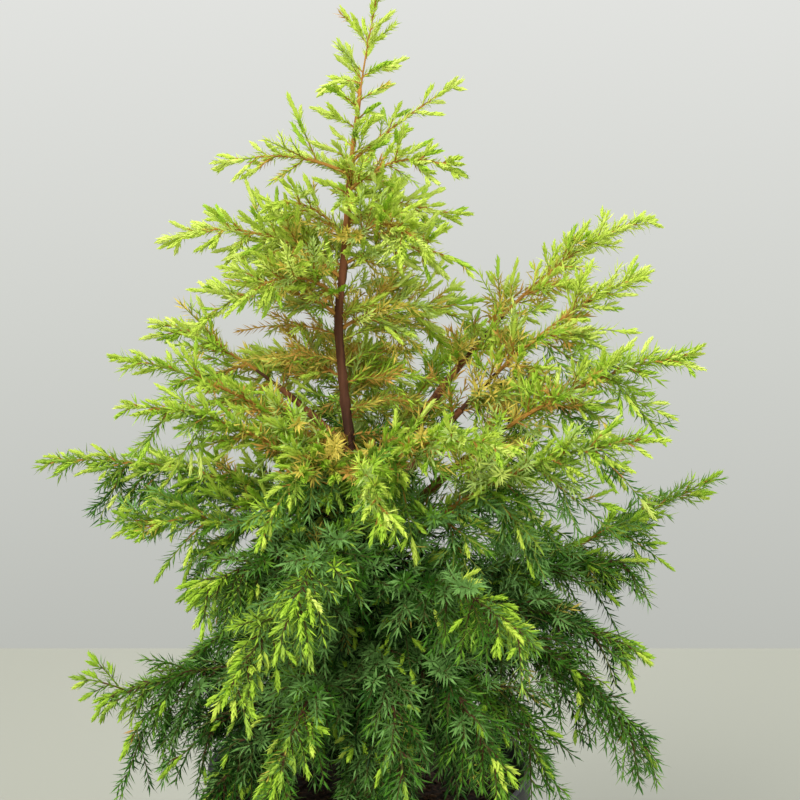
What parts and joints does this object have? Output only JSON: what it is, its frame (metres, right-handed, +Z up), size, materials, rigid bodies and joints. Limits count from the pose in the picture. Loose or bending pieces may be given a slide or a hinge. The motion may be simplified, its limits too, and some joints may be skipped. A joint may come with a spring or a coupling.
{
  "type": "young common juniper in a plastic nursery pot",
  "caption": "Young conifer with a slender leader, layered needled boughs and drooping low branches, growing in a round black plastic nursery pot.",
  "frame": {"origin": "centre of the pot's flat underside", "axes": "+Z up along the pot's axis and roughly along the trunk, +X to the plant's right, -Y to its front"},
  "size_m": [0.4015, 0.3092, 0.5941],
  "materials": {
    "pot": "black moulded plastic, slightly satin",
    "soil": "coarse dark potting mix",
    "bark": "rough red-brown bark",
    "foliage": "green needles with lime tips"
  },
  "bodies": {
    "root": {"pot": "pot", "soil": "soil", "trunk": "bark", "mid_left_1_limb": "bark", "mid_right_1_limb": "bark", "mid_right_2_limb": "bark", "mid_right_3_limb": "bark", "mid_right_5_limb": "bark", "leader": "foliage", "crown_left_1": "foliage", "crown_right_1": "foliage", "crown_right_2": "foliage", "crown_back_1": "foliage", "crown_right_3": "foliage", "crown_left_2": "foliage", "crown_front_1": "foliage", "crown_left_3": "foliage", "crown_right_4": "foliage", "crown_back_2": "foliage", "crown_left_4": "foliage", "crown_front_2": "foliage", "crown_right_5": "foliage", "crown_back_3": "foliage", "crown_left_5": "foliage", "mid_left_1": "foliage", "mid_left_2": "foliage", "mid_left_3": "foliage", "mid_left_4": "foliage", "mid_left_5": "foliage", "mid_right_1": "foliage", "mid_right_2": "foliage", "mid_right_3": "foliage", "mid_right_4": "foliage", "mid_right_5": "foliage", "front_mid_1": "foliage", "front_mid_2": "foliage", "front_mid_3": "foliage", "back_mid_1": "foliage", "back_mid_2": "foliage", "back_mid_3": "foliage", "front_low_1": "foliage", "front_low_2": "foliage", "front_low_3": "foliage", "front_low_4": "foliage", "front_low_5": "foliage", "front_low_6": "foliage", "front_low_7": "foliage", "front_low_8": "foliage", "front_low_9": "foliage", "front_low_10": "foliage", "low_left_1": "foliage", "low_left_2": "foliage", "low_left_3": "foliage", "low_right_1": "foliage", "low_right_2": "foliage", "low_right_3": "foliage", "back_low_1": "foliage", "back_low_2": "foliage", "back_low_3": "foliage", "back_low_4": "foliage"}
  },
  "joints": []
}
